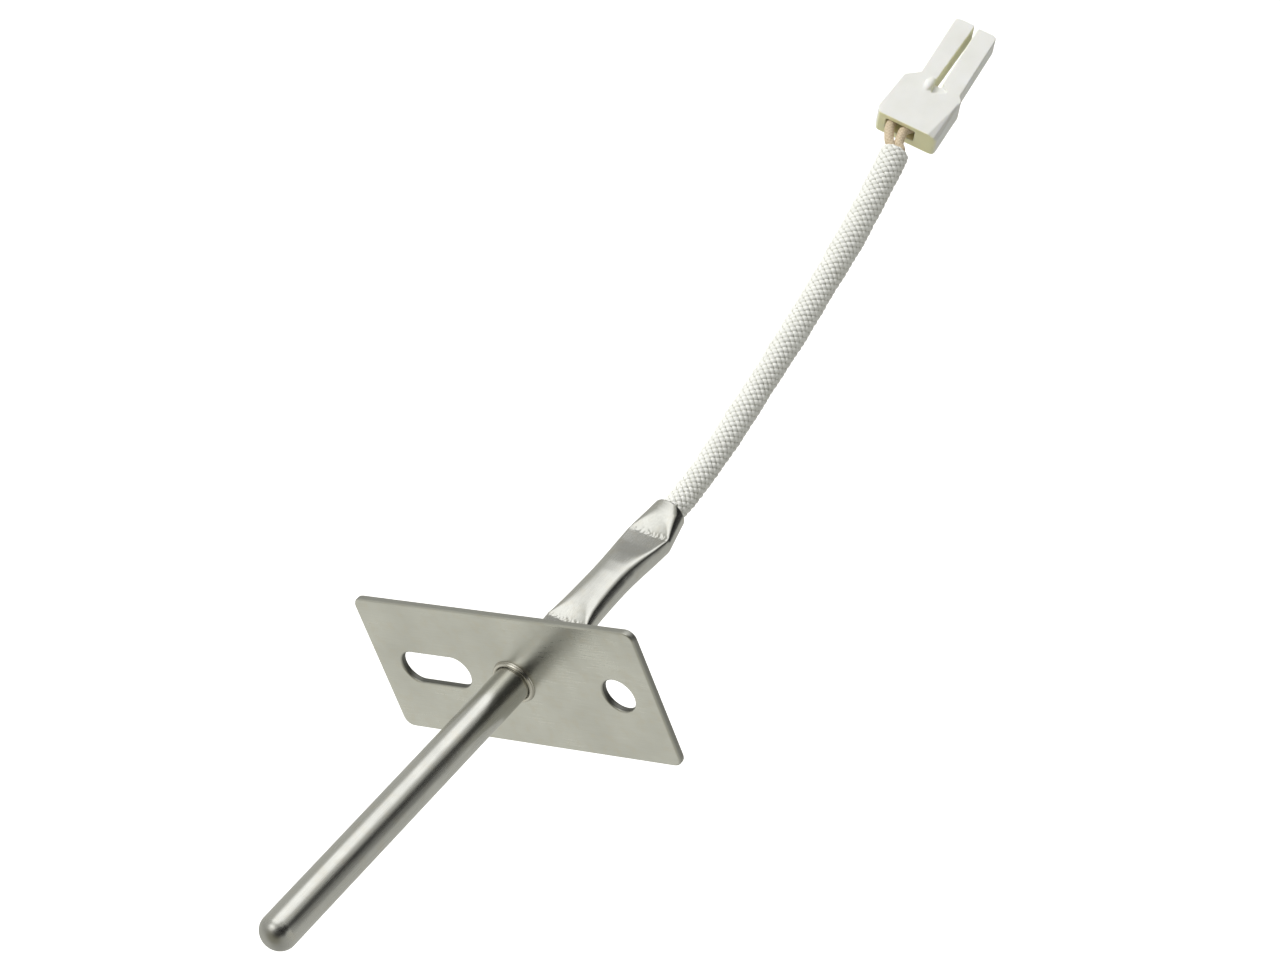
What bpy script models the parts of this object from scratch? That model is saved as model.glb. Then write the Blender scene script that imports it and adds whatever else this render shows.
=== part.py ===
"""Oven temperature probe: a sheathed resistance sensor on a slotted flange, with a braided two-wire lead
and a two-way plug. Z runs up the sheath, and the origin is on its axis at the flange's back face."""

import math

import bmesh
import bpy
from mathutils import Matrix, Vector
from mathutils.geometry import interpolate_bezier

MM = 0.001

# Sheath: a steel tube closed by a flattened dome, open and press-formed at the tail.
TUBE_R = 3.0 * MM
TUBE_WALL = 0.5 * MM
TIP_Z = 63.0 * MM
DOME_H = 2.3 * MM
MOUTH_Z = -42.0 * MM
MOUTH_R = 2.85 * MM
MOUTH_SHIFT_Y = -0.4 * MM
NECK_Z = -36.0 * MM
SHEATH_SIDES = 32
DOME_DEGREES = (0, 20, 40, 60, 78)

# Two press marks grip the lead: (height in mm, how deep the flat is, from 0 to 1).
PRESS_MARKS = (
    (-6.0, 0.0),
    (-14.0, 1.0),
    (-17.0, 0.53),
    (-20.5, 0.36),
    (-25.0, 0.3),
    (-29.0, 0.5),
    (-36.0, 1.0),
    (-42.0, 0.0),
)
PRESS_DROP = 1.9 * MM
PRESS_SPREAD = 0.95 * MM
PRESS_SAG = -0.15 * MM
PRESS_SHIFT = (-0.09 * MM, 0.12 * MM)
PRESS_TURN = math.radians(164.0)
TAIL_STEP = 2.2 * MM

# Flange plate, with a round hole on the left of the sheath and a slot on the right.
PLATE_LENGTH = 56.0 * MM
PLATE_WIDTH = 25.0 * MM
PLATE_T = 1.2 * MM
PLATE_CORNER_R = 1.7 * MM
SHEATH_HOLE_R = 3.3 * MM
SCREW_HOLE_X = -20.65 * MM
SCREW_HOLE_R = 2.9 * MM
SLOT_X = 16.0 * MM
SLOT_LENGTH = 13.8 * MM
SLOT_WIDTH = 5.7 * MM
HOLE_SIDES = 36
CORNER_STEPS = 5

# Collar pressed onto the sheath against the flange's front face.
COLLAR_BORE_R = 3.1 * MM
COLLAR_R = 3.75 * MM
COLLAR_LIFT = 0.1 * MM
COLLAR_H = 0.8 * MM
COLLAR_ROUND = 0.2 * MM

# Sensing element and the wiring inside the sheath.
CEMENT_R = 2.2 * MM
CEMENT_Z = (50.5 * MM, 61.0 * MM)
CHIP_SIZE = (2.4 * MM, 0.6 * MM, 5.0 * MM)
CHIP_Z = 53.0 * MM
CHIP_POCKET = (3.0 * MM, 1.2 * MM, 8.5 * MM)
WIRE_X = 0.85 * MM
CHIP_LEAD_R = 0.12 * MM
CHIP_LEAD_Z = (16.3 * MM, 52.7 * MM)
INSULATOR_R = 2.2 * MM
INSULATOR_BORE_R = 0.45 * MM
INSULATOR_Z = (22.0 * MM, 50.0 * MM)
FERRULE_R = (0.42 * MM, 0.62 * MM)
FERRULE_Z = (13.0 * MM, 19.0 * MM)
SPLICE_TUBE_R = (1.9 * MM, 2.3 * MM)
SPLICE_TUBE_Z = (5.0 * MM, 21.4 * MM)
WIRE_R = 0.7 * MM
WIRE_WALL = 0.28 * MM
CONDUCTOR_R = 0.3 * MM
CONDUCTOR_TOP_Z = 15.7 * MM
WIRE_TOP_Z = 12.6 * MM
WIRE_STEP = 4.0 * MM
TUCK_TOP_Z = -31.0 * MM
TUCK_INSET = (0.6 * MM, 1.0 * MM)
TUCK_STEP = 2.4 * MM
WIRE_TURN_LENGTH = 10.0 * MM
THIN_SIDES = 8
ROD_SIDES = 24

# Free lead: the middle of the braided sleeve from the sheath's mouth to its own end.
SLEEVE_R = 2.35 * MM
JOINT_GAP = 0.3 * MM
LEAD_ROUTE = (
    (0.0, -0.35, -42.3),
    (0.0, -0.75, -48.5),
    (0.0, -1.9, -56.5),
    (0.0, -4.1, -67.7),
    (0.0, -6.6, -79.5),
    (0.0, -9.3, -91.2),
    (0.0, -12.3, -103.0),
    (0.0, -15.3, -112.9),
    (0.0, -18.2, -121.4),
)

# Plug, in its own frame: x across, y through, wires in at z = 0 and prongs towards -z.
PLUG_AT = (0.0, -18.3 * MM, -126.2 * MM)
PLUG_LEAN = math.radians(-11.8)
PLUG_TURN = math.radians(-33.7)
PLUG_T = 4.9 * MM
PLUG_LENGTH = 25.0 * MM
PLUG_ROUND = 0.4 * MM

# The body's outline in x and z, in mm: its two shoulders step in to the prongs.
PLUG_OUTLINE = (
    (-4.6, 0.0),
    (6.2, 0.0),
    (6.9, -1.4),
    (6.2, -9.4),
    (3.95, -11.2),
    (-4.05, -11.2),
    (-4.05, -9.9),
    (-4.6, -9.4),
)
PRONG_X = {"a": (0.3 * MM, 3.95 * MM), "b": (-4.05 * MM, -0.35 * MM)}
PRONG_T = 3.9 * MM
PRONG_ROOT_Z = -10.5 * MM
CAVITY_X = {"a": 2.4 * MM, "b": -2.15 * MM}
CAVITY_R = 1.15 * MM
CAVITY_MOUTH_R = 0.8 * MM
CAVITY_LIP = 1.2 * MM
GAP_OUTLINE = ((0.28, -25.5), (0.95, -10.6), (-0.35, -10.6), (-0.35, -25.5))
RECESS_OUTLINE = ((0.95, -10.7), (0.7, -7.8), (-2.0, -9.7), (-0.35, -10.7))
RECESS_DEPTH = 0.7 * MM
POCKET_OUTLINE = ((4.8, 1.0), (-0.6, 1.0), (-0.6, -0.4), (-3.1, -2.0), (-3.1, -3.4), (4.0, -3.4), (4.8, -2.4))
POCKET_Y = (-1.5 * MM, 1.1 * MM)
CAVITY_TOP = -2.8 * MM
CONTACT_R = (0.55 * MM, 0.95 * MM)
CONTACT_Z = (-23.2 * MM, -5.0 * MM)
SOCKET_DEPTH = 7.0 * MM
BARREL_DEPTH = 3.0 * MM

# The two wires from the sleeve's end to the plug, as points in mm in the plug's frame.
PLUG_WIRE_ROUTE = {
    "a": (
        (1.6, -0.6, 4.4),
        (2.5, -0.7, 3.2),
        (3.3, -0.7, 1.6),
        (3.75, -0.65, 0.0),
        (3.4, -0.2, -2.0),
        (2.4, 0.0, -3.7),
    ),
    "b": (
        (-0.1, -0.6, 4.4),
        (0.7, -0.7, 3.2),
        (1.1, -0.7, 1.6),
        (1.15, -0.65, 0.0),
        (-0.2, -0.3, -1.8),
        (-2.15, 0.0, -3.7),
    ),
}
PLUG_WIRE_END = -4.2
PLUG_CONDUCTOR_END = -7.2

ROUND_SIDES = 48
SMALL_SIDES = 16

SIDES = {"a": 1.0, "b": -1.0}


def clear_scene():
    for obj in list(bpy.data.objects):
        bpy.data.objects.remove(obj, do_unlink=True)


def new_collection(name):
    collection = bpy.data.collections.new(name)
    bpy.context.scene.collection.children.link(collection)
    return collection


def material(name, colour, roughness, metallic=0.0):
    made = bpy.data.materials.new(name)
    made.use_nodes = True
    shader = made.node_tree.nodes["Principled BSDF"]
    shader.inputs["Base Color"].default_value = (*colour, 1.0)
    shader.inputs["Roughness"].default_value = roughness
    shader.inputs["Metallic"].default_value = metallic
    return made


def add(name, data, finish, parent, smooth=True):
    """An object of this mesh or curve among the parts, with its material and its parent."""
    obj = bpy.data.objects.new(name, data)
    PARTS.objects.link(obj)
    data.materials.append(finish)
    obj.parent = parent
    if smooth and obj.type == "MESH":
        data.shade_smooth()
        data.set_sharp_from_angle(angle=math.radians(35.0))
    return obj


def mesh_of(name, bm):
    bmesh.ops.recalc_face_normals(bm, faces=bm.faces)
    mesh = bpy.data.meshes.new(name)
    bm.to_mesh(mesh)
    bm.free()
    return mesh


def box_mesh(name, low, high):
    bm = bmesh.new()
    size = Vector(high) - Vector(low)
    middle = (Vector(high) + Vector(low)) / 2
    bmesh.ops.create_cube(bm, size=1.0, matrix=Matrix.Translation(middle) @ Matrix.Diagonal((*size, 1.0)))
    return mesh_of(name, bm)


def rod_mesh(name, radius, low_z, high_z, x=0.0, sides=SMALL_SIDES):
    bm = bmesh.new()
    place = Matrix.Translation((x, 0.0, (low_z + high_z) / 2))
    bmesh.ops.create_cone(
        bm, cap_ends=True, segments=sides, radius1=radius, radius2=radius, depth=high_z - low_z, matrix=place
    )
    return mesh_of(name, bm)


def cut(obj, helper_mesh, operation="DIFFERENCE"):
    """Cuts the helper mesh from the object, or joins it on. The helper shares the object's frame."""
    helper = bpy.data.objects.new(helper_mesh.name, helper_mesh)
    CUTTERS.objects.link(helper)
    helper.parent = obj
    helper.hide_render = True
    helper.display_type = "WIRE"
    modifier = obj.modifiers.new(helper.name, "BOOLEAN")
    modifier.operation = operation
    modifier.object = helper


def turned(name, profile, finish, parent, sides=ROUND_SIDES):
    """A ring or rod turned about Z from a closed outline of (radius, height) points."""
    bm = bmesh.new()
    corners = [bm.verts.new((radius, 0.0, z)) for radius, z in profile]
    for first, second in zip(corners, corners[1:] + corners[:1]):
        bm.edges.new((first, second))
    mesh = bpy.data.meshes.new(name)
    bm.to_mesh(mesh)
    bm.free()
    obj = add(name, mesh, finish, parent)
    screw = obj.modifiers.new("turn", "SCREW")
    screw.axis = "Z"
    screw.steps = sides
    screw.render_steps = sides
    screw.use_merge_vertices = True
    screw.merge_threshold = 0.00001
    screw.use_smooth_shade = True
    return obj


def ring_profile(inner_r, outer_r, low_z, high_z):
    return [(outer_r, high_z), (outer_r, low_z), (inner_r, low_z), (inner_r, high_z)]


def loft(name, rings, closed_loop=False):
    """A skin through rings of equal count, capped at both ends or joined end to end."""
    bm = bmesh.new()
    loops = [[bm.verts.new(point) for point in ring] for ring in rings]
    pairs = list(zip(loops, loops[1:]))
    if closed_loop:
        pairs.append((loops[-1], loops[0]))
    else:
        bm.faces.new(loops[0])
        bm.faces.new(reversed(loops[-1]))
    for first, second in pairs:
        for i, corner in enumerate(first):
            j = (i + 1) % len(first)
            bm.faces.new((corner, first[j], second[j], second[i]))
    return mesh_of(name, bm)


def wire(name, points, radius, finish, parent, wall=None):
    """A round wire along the points, solid, or a hollow cover when it has a wall."""
    curve = bpy.data.curves.new(name, "CURVE")
    curve.dimensions = "3D"
    curve.bevel_depth = radius
    curve.bevel_resolution = 2
    curve.use_fill_caps = wall is None
    spline = curve.splines.new("POLY")
    spline.points.add(len(points) - 1)
    for target, point in zip(spline.points, points):
        target.co = (*point, 1.0)
    obj = add(name, curve, finish, parent)
    if wall is not None:
        shell = obj.modifiers.new("wall", "SOLIDIFY")
        shell.thickness = wall
        shell.offset = -1.0
    return obj


def smooth_path(route, per_span):
    """Points on a smooth curve through the route, with the same number in each span."""
    points = [Vector(point) for point in route]
    last = len(points) - 1
    path = [points[0]]
    for i in range(last):
        before = points[max(i - 1, 0)]
        after = points[min(i + 2, last)]
        start, end = points[i], points[i + 1]
        handle_a = start + (end - before) / 6
        handle_b = end - (after - start) / 6
        path += interpolate_bezier(start, handle_a, handle_b, end, per_span + 1)[1:]
    return path


def press_depth(z):
    """How deep the press tool has pushed the tail's flat in at this height, from 0 to 1."""
    for (high, deep), (low, deeper) in zip(PRESS_MARKS, PRESS_MARKS[1:]):
        if low * MM <= z <= high * MM:
            return deep + (deeper - deep) * (high * MM - z) / ((high - low) * MM)
    return 0.0


def necking_at(z):
    return min(max((NECK_Z - z) / (NECK_Z - MOUTH_Z), 0.0), 1.0)


def tail_shift(z):
    """The press pushes the tail aside a little, and its mouth bends towards the lead."""
    aside = Vector((*PRESS_SHIFT, 0.0)) * press_depth(z)
    return aside + Vector((0.0, MOUTH_SHIFT_Y * necking_at(z), 0.0))


def tail_size(z):
    """Half width, depth of the round side and height of the pressed side of the tail at this height."""
    pressed = press_depth(z)
    necking = necking_at(z)
    shrink = 1.0 - (1.0 - MOUTH_R / TUBE_R) * necking
    half_width = (TUBE_R + PRESS_SPREAD * pressed) * shrink
    round_side = (TUBE_R - PRESS_SAG * pressed) * shrink
    pressed_side = (TUBE_R - PRESS_DROP * pressed) * shrink
    return half_width, round_side, pressed_side


def tail_ring(z, inset=0.0, sides=SHEATH_SIDES):
    """One ring of the tail: an ellipse with its pressed side cut flat."""
    half_width, round_side, pressed_side = (size - inset for size in tail_size(z))
    turn = Matrix.Rotation(PRESS_TURN, 3, "Z")
    ring = []
    for i in range(sides):
        angle = 2 * math.pi * i / sides
        flat = min(round_side * math.sin(angle), pressed_side)
        ring.append(turn @ Vector((half_width * math.cos(angle), flat, z)) + tail_shift(z))
    return ring


def duct_middle(z, offset=0.0):
    """The middle of the tail's inside at this height, or a point beside it along the flat."""
    _, round_side, pressed_side = tail_size(z)
    middle = Vector((offset, (pressed_side - round_side) / 2, z))
    return Matrix.Rotation(PRESS_TURN, 3, "Z") @ middle + tail_shift(z)


def dome_rings(radius, height):
    """Rings up the closed end, from its straight side to near the pole."""
    start = TIP_Z - DOME_H
    rings = []
    for degrees in DOME_DEGREES:
        lift = math.radians(degrees)
        r = radius * math.cos(lift)
        z = start + height * math.sin(lift)
        angles = [PRESS_TURN + 2 * math.pi * i / SHEATH_SIDES for i in range(SHEATH_SIDES)]
        rings.append([Vector((r * math.cos(angle), r * math.sin(angle), z)) for angle in angles])
    return rings


def heights_between(top, bottom, step):
    """Heights from top to bottom at most one step apart, with every press mark between them."""
    marks = [z * MM for z, _ in PRESS_MARKS if bottom < z * MM < top]
    stops = [top, *marks, bottom]
    heights = [top]
    for high, low in zip(stops, stops[1:]):
        spans = max(1, math.ceil((high - low) / step - 0.001))
        heights += [high + (low - high) * (i + 1) / spans for i in range(spans)]
    return heights


def make_sheath(finish, parent):
    heights = heights_between(0.0, MOUTH_Z, TAIL_STEP)
    outer = list(reversed(dome_rings(TUBE_R, DOME_H))) + [tail_ring(z) for z in heights]
    inner = [tail_ring(z, TUBE_WALL) for z in reversed(heights)]
    inner += dome_rings(TUBE_R - TUBE_WALL, DOME_H - TUBE_WALL)
    add("sheath_tube", loft("sheath_tube", outer + inner), finish, parent)


def arc(centre, radius, first_degrees, last_degrees, steps):
    points = []
    for i in range(steps + 1):
        angle = math.radians(first_degrees + (last_degrees - first_degrees) * i / steps)
        points.append((centre[0] + radius * math.cos(angle), centre[1] + radius * math.sin(angle)))
    return points


def make_flange(finish, parent):
    half_x = PLATE_LENGTH / 2 - PLATE_CORNER_R
    half_y = PLATE_WIDTH / 2 - PLATE_CORNER_R
    corners = ((half_x, half_y, 0), (-half_x, half_y, 90), (-half_x, -half_y, 180), (half_x, -half_y, 270))
    outline = []
    for x, y, start in corners:
        outline += arc((x, y), PLATE_CORNER_R, start, start + 90, CORNER_STEPS)
    slot_r = SLOT_WIDTH / 2
    reach = SLOT_LENGTH / 2 - slot_r
    half_turn = HOLE_SIDES // 2
    slot = arc((SLOT_X + reach, 0.0), slot_r, -90, 90, half_turn)
    slot += arc((SLOT_X - reach, 0.0), slot_r, 90, 270, half_turn)
    screw_hole = arc((SCREW_HOLE_X, 0.0), SCREW_HOLE_R, 0, 360, HOLE_SIDES)[:-1]
    sheath_hole = arc((0.0, 0.0), SHEATH_HOLE_R, 0, 360, HOLE_SIDES)[:-1]
    curve = bpy.data.curves.new("flange_plate", "CURVE")
    curve.dimensions = "2D"
    curve.fill_mode = "BOTH"
    curve.extrude = PLATE_T / 2
    for loop in (outline, slot, screw_hole, sheath_hole):
        spline = curve.splines.new("POLY")
        spline.points.add(len(loop) - 1)
        for target, (x, y) in zip(spline.points, loop):
            target.co = (x, y, 0.0, 1.0)
        spline.use_cyclic_u = True
    plate = add("flange_plate", curve, finish, parent)
    plate.location.z = PLATE_T / 2


def make_collar(finish, parent):
    foot = PLATE_T + COLLAR_LIFT
    top = PLATE_T + COLLAR_H
    profile = [
        (COLLAR_R - COLLAR_ROUND, top),
        (COLLAR_R, top - COLLAR_ROUND),
        (COLLAR_R, foot),
        (COLLAR_BORE_R, foot),
        (COLLAR_BORE_R, top - COLLAR_ROUND),
        (COLLAR_BORE_R + COLLAR_ROUND, top),
    ]
    turned("press_collar", profile, finish, parent)


def make_element(parent):
    cement = add("tip_cement", rod_mesh("tip_cement", CEMENT_R, *CEMENT_Z, sides=ROD_SIDES), CEMENT, parent)
    pocket_x, pocket_y, pocket_z = CHIP_POCKET
    low = (-pocket_x / 2, -pocket_y / 2, CEMENT_Z[0] - MM)
    high = (pocket_x / 2, pocket_y / 2, CEMENT_Z[0] + pocket_z)
    cut(cement, box_mesh("chip_pocket_cut", low, high))
    chip_x, chip_y, chip_z = CHIP_SIZE
    low = (-chip_x / 2, -chip_y / 2, CHIP_Z)
    high = (chip_x / 2, chip_y / 2, CHIP_Z + chip_z)
    add("sensor_chip", box_mesh("sensor_chip", low, high), CERAMIC, parent, smooth=False)
    rod = rod_mesh("ceramic_insulator", INSULATOR_R, *INSULATOR_Z, sides=ROD_SIDES)
    insulator = add("ceramic_insulator", rod, CERAMIC, parent)
    bore_z = (INSULATOR_Z[0] - MM, INSULATOR_Z[1] + MM)
    for side, sign in SIDES.items():
        cut(insulator, rod_mesh(f"insulator_bore_{side}", INSULATOR_BORE_R, *bore_z, sign * WIRE_X))
        lead = rod_mesh(f"chip_lead_{side}", CHIP_LEAD_R, *CHIP_LEAD_Z, sign * WIRE_X, sides=THIN_SIDES)
        add(f"chip_lead_{side}", lead, NICKEL, parent)


def make_probe_wiring(parent):
    turned("splice_cover", ring_profile(*SPLICE_TUBE_R, *SPLICE_TUBE_Z), BRAID, parent, sides=ROD_SIDES)
    end = MOUTH_Z + JOINT_GAP
    for side, sign in SIDES.items():
        outline = ring_profile(*FERRULE_R, *FERRULE_Z)
        ferrule = turned(f"splice_ferrule_{side}", outline, NICKEL, parent, SMALL_SIDES)
        ferrule.location.x = sign * WIRE_X
        turn_back = -sign * WIRE_X
        for name, top, radius, wall, finish in (
            (f"probe_wire_{side}", WIRE_TOP_Z, WIRE_R, WIRE_WALL, WIRE_TAN),
            (f"probe_conductor_{side}", CONDUCTOR_TOP_Z, CONDUCTOR_R, None, NICKEL),
        ):
            heights = heights_between(top, end, WIRE_STEP)
            points = [wire_middle(z, turn_back) for z in heights]
            wire(name, points, radius, finish, parent, wall)


def wire_middle(z, offset):
    """A wire's middle: in line with its ferrule at the top, and along the tail's flat further down."""
    ease = min(max(1.0 - z / WIRE_TURN_LENGTH, 0.0), 1.0)
    ease = ease * ease * (3 - 2 * ease)
    angle = math.pi + (PRESS_TURN - math.pi) * ease
    beside = Matrix.Rotation(angle, 3, "Z") @ Vector((offset, 0.0, 0.0))
    return duct_middle(z) + beside


def make_tucked_sleeve(parent):
    heights = heights_between(TUCK_TOP_Z, MOUTH_Z + JOINT_GAP, TUCK_STEP)
    outer = [tail_ring(z, TUCK_INSET[0], ROD_SIDES) for z in heights]
    inner = [tail_ring(z, TUCK_INSET[1], ROD_SIDES) for z in reversed(heights)]
    add("tucked_sleeve_end", loft("tucked_sleeve_end", outer + inner, closed_loop=True), BRAID, parent)


def plug_matrix():
    lean = Matrix.Rotation(PLUG_LEAN, 4, "X")
    turn = Matrix.Rotation(PLUG_TURN, 4, "Z")
    return Matrix.Translation(PLUG_AT) @ lean @ turn


def make_lead(parent):
    route = [Vector(point) * MM for point in LEAD_ROUTE]
    path = smooth_path(route, 1)
    sleeve = wire("braided_sleeve", path, SLEEVE_R, BRAID, parent)
    sleeve.data.bevel_resolution = 3
    placed = plug_matrix()
    for side, points in PLUG_WIRE_ROUTE.items():
        entry = [placed @ (Vector(point) * MM) for point in points]
        x, y, _ = points[-1]
        for name, depth, radius, wall, finish in (
            (f"plug_wire_{side}", PLUG_WIRE_END, WIRE_R, WIRE_WALL, WIRE_TAN),
            (f"plug_conductor_{side}", PLUG_CONDUCTOR_END, CONDUCTOR_R, None, NICKEL),
        ):
            end = placed @ (Vector((x, y, depth)) * MM)
            wire(name, smooth_path([*entry, end], 2), radius, finish, parent, wall)


def prism_mesh(name, outline, low_y, high_y):
    """A closed prism from an outline in x and z, in mm."""
    rings = [[Vector((x * MM, y, z * MM)) for x, z in outline] for y in (low_y, high_y)]
    return loft(name, rings)


def make_plug(parent):
    half_t = PLUG_T / 2
    body = prism_mesh("plug_housing", PLUG_OUTLINE, -half_t, half_t)
    housing = add("plug_housing", body, NYLON, parent, smooth=False)
    rounding = housing.modifiers.new("rounding", "BEVEL")
    rounding.width = PLUG_ROUND
    rounding.segments = 2
    for side, (low_x, high_x) in PRONG_X.items():
        low = (low_x, -half_t, -PLUG_LENGTH)
        high = (high_x, -half_t + PRONG_T, PRONG_ROOT_Z + MM)
        cut(housing, box_mesh(f"prong_{side}", low, high), "UNION")
    cut(housing, prism_mesh("gap_cut", GAP_OUTLINE, -PLUG_T, PLUG_T))
    cut(housing, prism_mesh("recess_cut", RECESS_OUTLINE, -PLUG_T, -half_t + RECESS_DEPTH))
    cut(housing, prism_mesh("pocket_cut", POCKET_OUTLINE, *POCKET_Y))
    for side, x in CAVITY_X.items():
        cut(housing, rod_mesh(f"cavity_{side}", CAVITY_R, -PLUG_LENGTH + CAVITY_LIP, CAVITY_TOP, x))
        mouth_z = (-PLUG_LENGTH - MM, -PLUG_LENGTH + 2 * CAVITY_LIP)
        cut(housing, rod_mesh(f"cavity_mouth_{side}", CAVITY_MOUTH_R, *mouth_z, x))
        contact = turned(f"contact_{side}", contact_profile(), BRASS, parent, SMALL_SIDES)
        contact.location.x = x


def contact_profile():
    """A round contact: a socket at the prong's end, a web, and a crimp barrel at the wire's end."""
    inner, outer = CONTACT_R
    low, high = CONTACT_Z
    return [
        (outer, high),
        (outer, low),
        (inner, low),
        (inner, low + SOCKET_DEPTH),
        (0.0, low + SOCKET_DEPTH),
        (0.0, high - BARREL_DEPTH),
        (inner, high - BARREL_DEPTH),
        (inner, high),
    ]


clear_scene()
PARTS = new_collection("oven_temperature_probe")
CUTTERS = new_collection("cutters")
CUTTERS.hide_render = True
STEEL = material("satin_steel", (0.62, 0.62, 0.59), 0.28, 1.0)
PLATE_STEEL = material("plate_steel", (0.52, 0.51, 0.46), 0.42, 1.0)
COLLAR_STEEL = material("collar_steel", (0.66, 0.64, 0.58), 0.3, 1.0)
CERAMIC = material("alumina", (0.9, 0.89, 0.85), 0.6)
CEMENT = material("cement", (0.78, 0.76, 0.7), 0.9)
NICKEL = material("nickel", (0.7, 0.68, 0.62), 0.3, 1.0)
BRAID = material("glass_braid", (0.9, 0.9, 0.87), 0.8)
WIRE_TAN = material("wire_cover", (0.72, 0.6, 0.42), 0.7)
NYLON = material("nylon", (0.93, 0.93, 0.9), 0.45)
BRASS = material("contact_brass", (0.75, 0.62, 0.35), 0.3, 1.0)

probe = bpy.data.objects.new("probe_frame", None)
plug = bpy.data.objects.new("plug_frame", None)
for empty in (probe, plug):
    PARTS.objects.link(empty)
plug.parent = probe
plug.matrix_world = plug_matrix()

make_sheath(STEEL, probe)
make_flange(PLATE_STEEL, probe)
make_collar(COLLAR_STEEL, probe)
make_element(probe)
make_probe_wiring(probe)
make_tucked_sleeve(probe)
make_lead(probe)
make_plug(plug)
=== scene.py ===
"""Looks of the oven temperature probe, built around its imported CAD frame. Metres, +Z up the sheath."""

import math

import bmesh
import bpy
import numpy as np
from mathutils import Matrix, Vector, noise
from mathutils.geometry import interpolate_bezier


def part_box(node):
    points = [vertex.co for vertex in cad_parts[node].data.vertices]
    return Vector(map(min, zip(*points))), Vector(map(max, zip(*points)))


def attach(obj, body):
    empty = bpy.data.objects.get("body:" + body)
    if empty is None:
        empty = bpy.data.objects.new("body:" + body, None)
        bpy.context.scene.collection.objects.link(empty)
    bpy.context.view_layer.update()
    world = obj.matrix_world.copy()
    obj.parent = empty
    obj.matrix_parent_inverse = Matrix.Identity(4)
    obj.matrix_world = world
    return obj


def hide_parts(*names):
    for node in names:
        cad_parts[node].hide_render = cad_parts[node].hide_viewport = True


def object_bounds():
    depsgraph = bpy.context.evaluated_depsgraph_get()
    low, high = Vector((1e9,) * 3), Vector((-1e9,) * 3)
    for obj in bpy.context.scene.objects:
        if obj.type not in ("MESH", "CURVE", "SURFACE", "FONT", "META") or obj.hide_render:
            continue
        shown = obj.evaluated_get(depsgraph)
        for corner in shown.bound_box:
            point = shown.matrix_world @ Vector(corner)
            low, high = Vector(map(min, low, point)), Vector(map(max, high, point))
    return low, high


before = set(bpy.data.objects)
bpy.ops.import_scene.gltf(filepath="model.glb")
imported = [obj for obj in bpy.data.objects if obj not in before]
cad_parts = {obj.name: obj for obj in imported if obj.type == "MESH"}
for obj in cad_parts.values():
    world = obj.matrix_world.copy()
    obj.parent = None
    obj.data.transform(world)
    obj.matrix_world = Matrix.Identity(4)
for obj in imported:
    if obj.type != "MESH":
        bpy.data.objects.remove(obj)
cad_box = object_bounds()

MM = 0.001

# Camera, at the photograph's angle: it looks down on the flange's front face, with the sheath towards it.
CAMERA_AT = (-413.27 * MM, -327.13 * MM, 354.54 * MM)
CAMERA_AIM = (-21.00 * MM, -24.63 * MM, -18.31 * MM)
CAMERA_UP = (0.0776, -0.8126, -0.5776)
CAMERA_LENS = 117.42

# Free lead: the middle of the braided sleeve, from the sheath's mouth to the sleeve's own end.
LEAD_ROUTE = (
    (0.0, -0.35, -42.3),
    (0.0, -0.75, -48.5),
    (0.0, -1.9, -56.5),
    (0.0, -4.1, -67.7),
    (0.0, -6.6, -79.5),
    (0.0, -9.3, -91.2),
    (0.0, -12.3, -103.0),
    (0.0, -15.3, -112.9),
    (0.0, -18.2, -121.4),
)
SLEEVE_TUCK = (0.0, -0.3, -41.0)
# How the sleeve swells: (distance along it, outer radius), in mm.
SLEEVE_SWELL = ((0.0, 2.1), (2.0, 2.2), (8.0, 2.3), (30.0, 2.38), (55.0, 2.44), (70.0, 2.54), (78.0, 2.52))

# Sheath: a tube with a closed, spun end, and a tail that necks down to an open mouth.
TUBE_R = 3.0 * MM
TUBE_WALL = 0.5 * MM
DOME_H = 2.7 * MM
TIP_RISE = 0.05 * MM  # above the CAD's tip
MOUTH_Z = -42.0 * MM
MOUTH_R = 2.85 * MM
MOUTH_SHIFT_Y = -0.4 * MM
NECK_Z = -36.0 * MM
LIP_H = 0.18 * MM

# Two press marks grip the lead: (height in mm, how deep the flat is, from 0 to 1).
PRESS_MARKS = (
    (-6.0, 0.0), (-13.0, 1.0), (-14.6, 0.74), (-16.4, 0.55), (-18.6, 0.43), (-21.5, 0.34),
    (-24.5, 0.3), (-27.0, 0.37), (-29.5, 0.54), (-32.5, 0.79), (-36.0, 1.0), (-42.0, 0.0),
)
PRESS_DROP = 1.9 * MM
PRESS_DISH = 0.3 * MM
PRESS_SPREAD = 0.95 * MM
PRESS_SAG = -0.15 * MM
PRESS_SHIFT = (-0.09 * MM, 0.12 * MM)
PRESS_TURN = math.radians(164.0)
CREASES_Z = (-36.0 * MM, -13.0 * MM)
BITE_DEPTH, BITE_REACH = 0.15 * MM, 0.8 * MM

# Flange, with a round hole on one side of the sheath and a slot on the other.
PLATE_CORNER_R = 1.7 * MM
SHEATH_HOLE_R = 3.3 * MM
SCREW_HOLE_X, SCREW_HOLE_R = -20.65 * MM, 2.9 * MM
SLOT_X, SLOT_LENGTH, SLOT_WIDTH = 16.0 * MM, 13.8 * MM, 5.7 * MM
EDGE_ROUND = 0.35 * MM

# Collar: a half-round bead pressed onto the sheath, on a skirt given as (reach beyond the bead, height).
BEAD_BORE_R = 3.04 * MM
BEAD_OUTER_R = 3.72 * MM
BEAD_H = 0.62 * MM
BEAD_WALL_H = 0.25 * MM
BEAD_SKIRT = ((0.1 * MM, 0.0), (0.02 * MM, 0.05 * MM))

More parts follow.
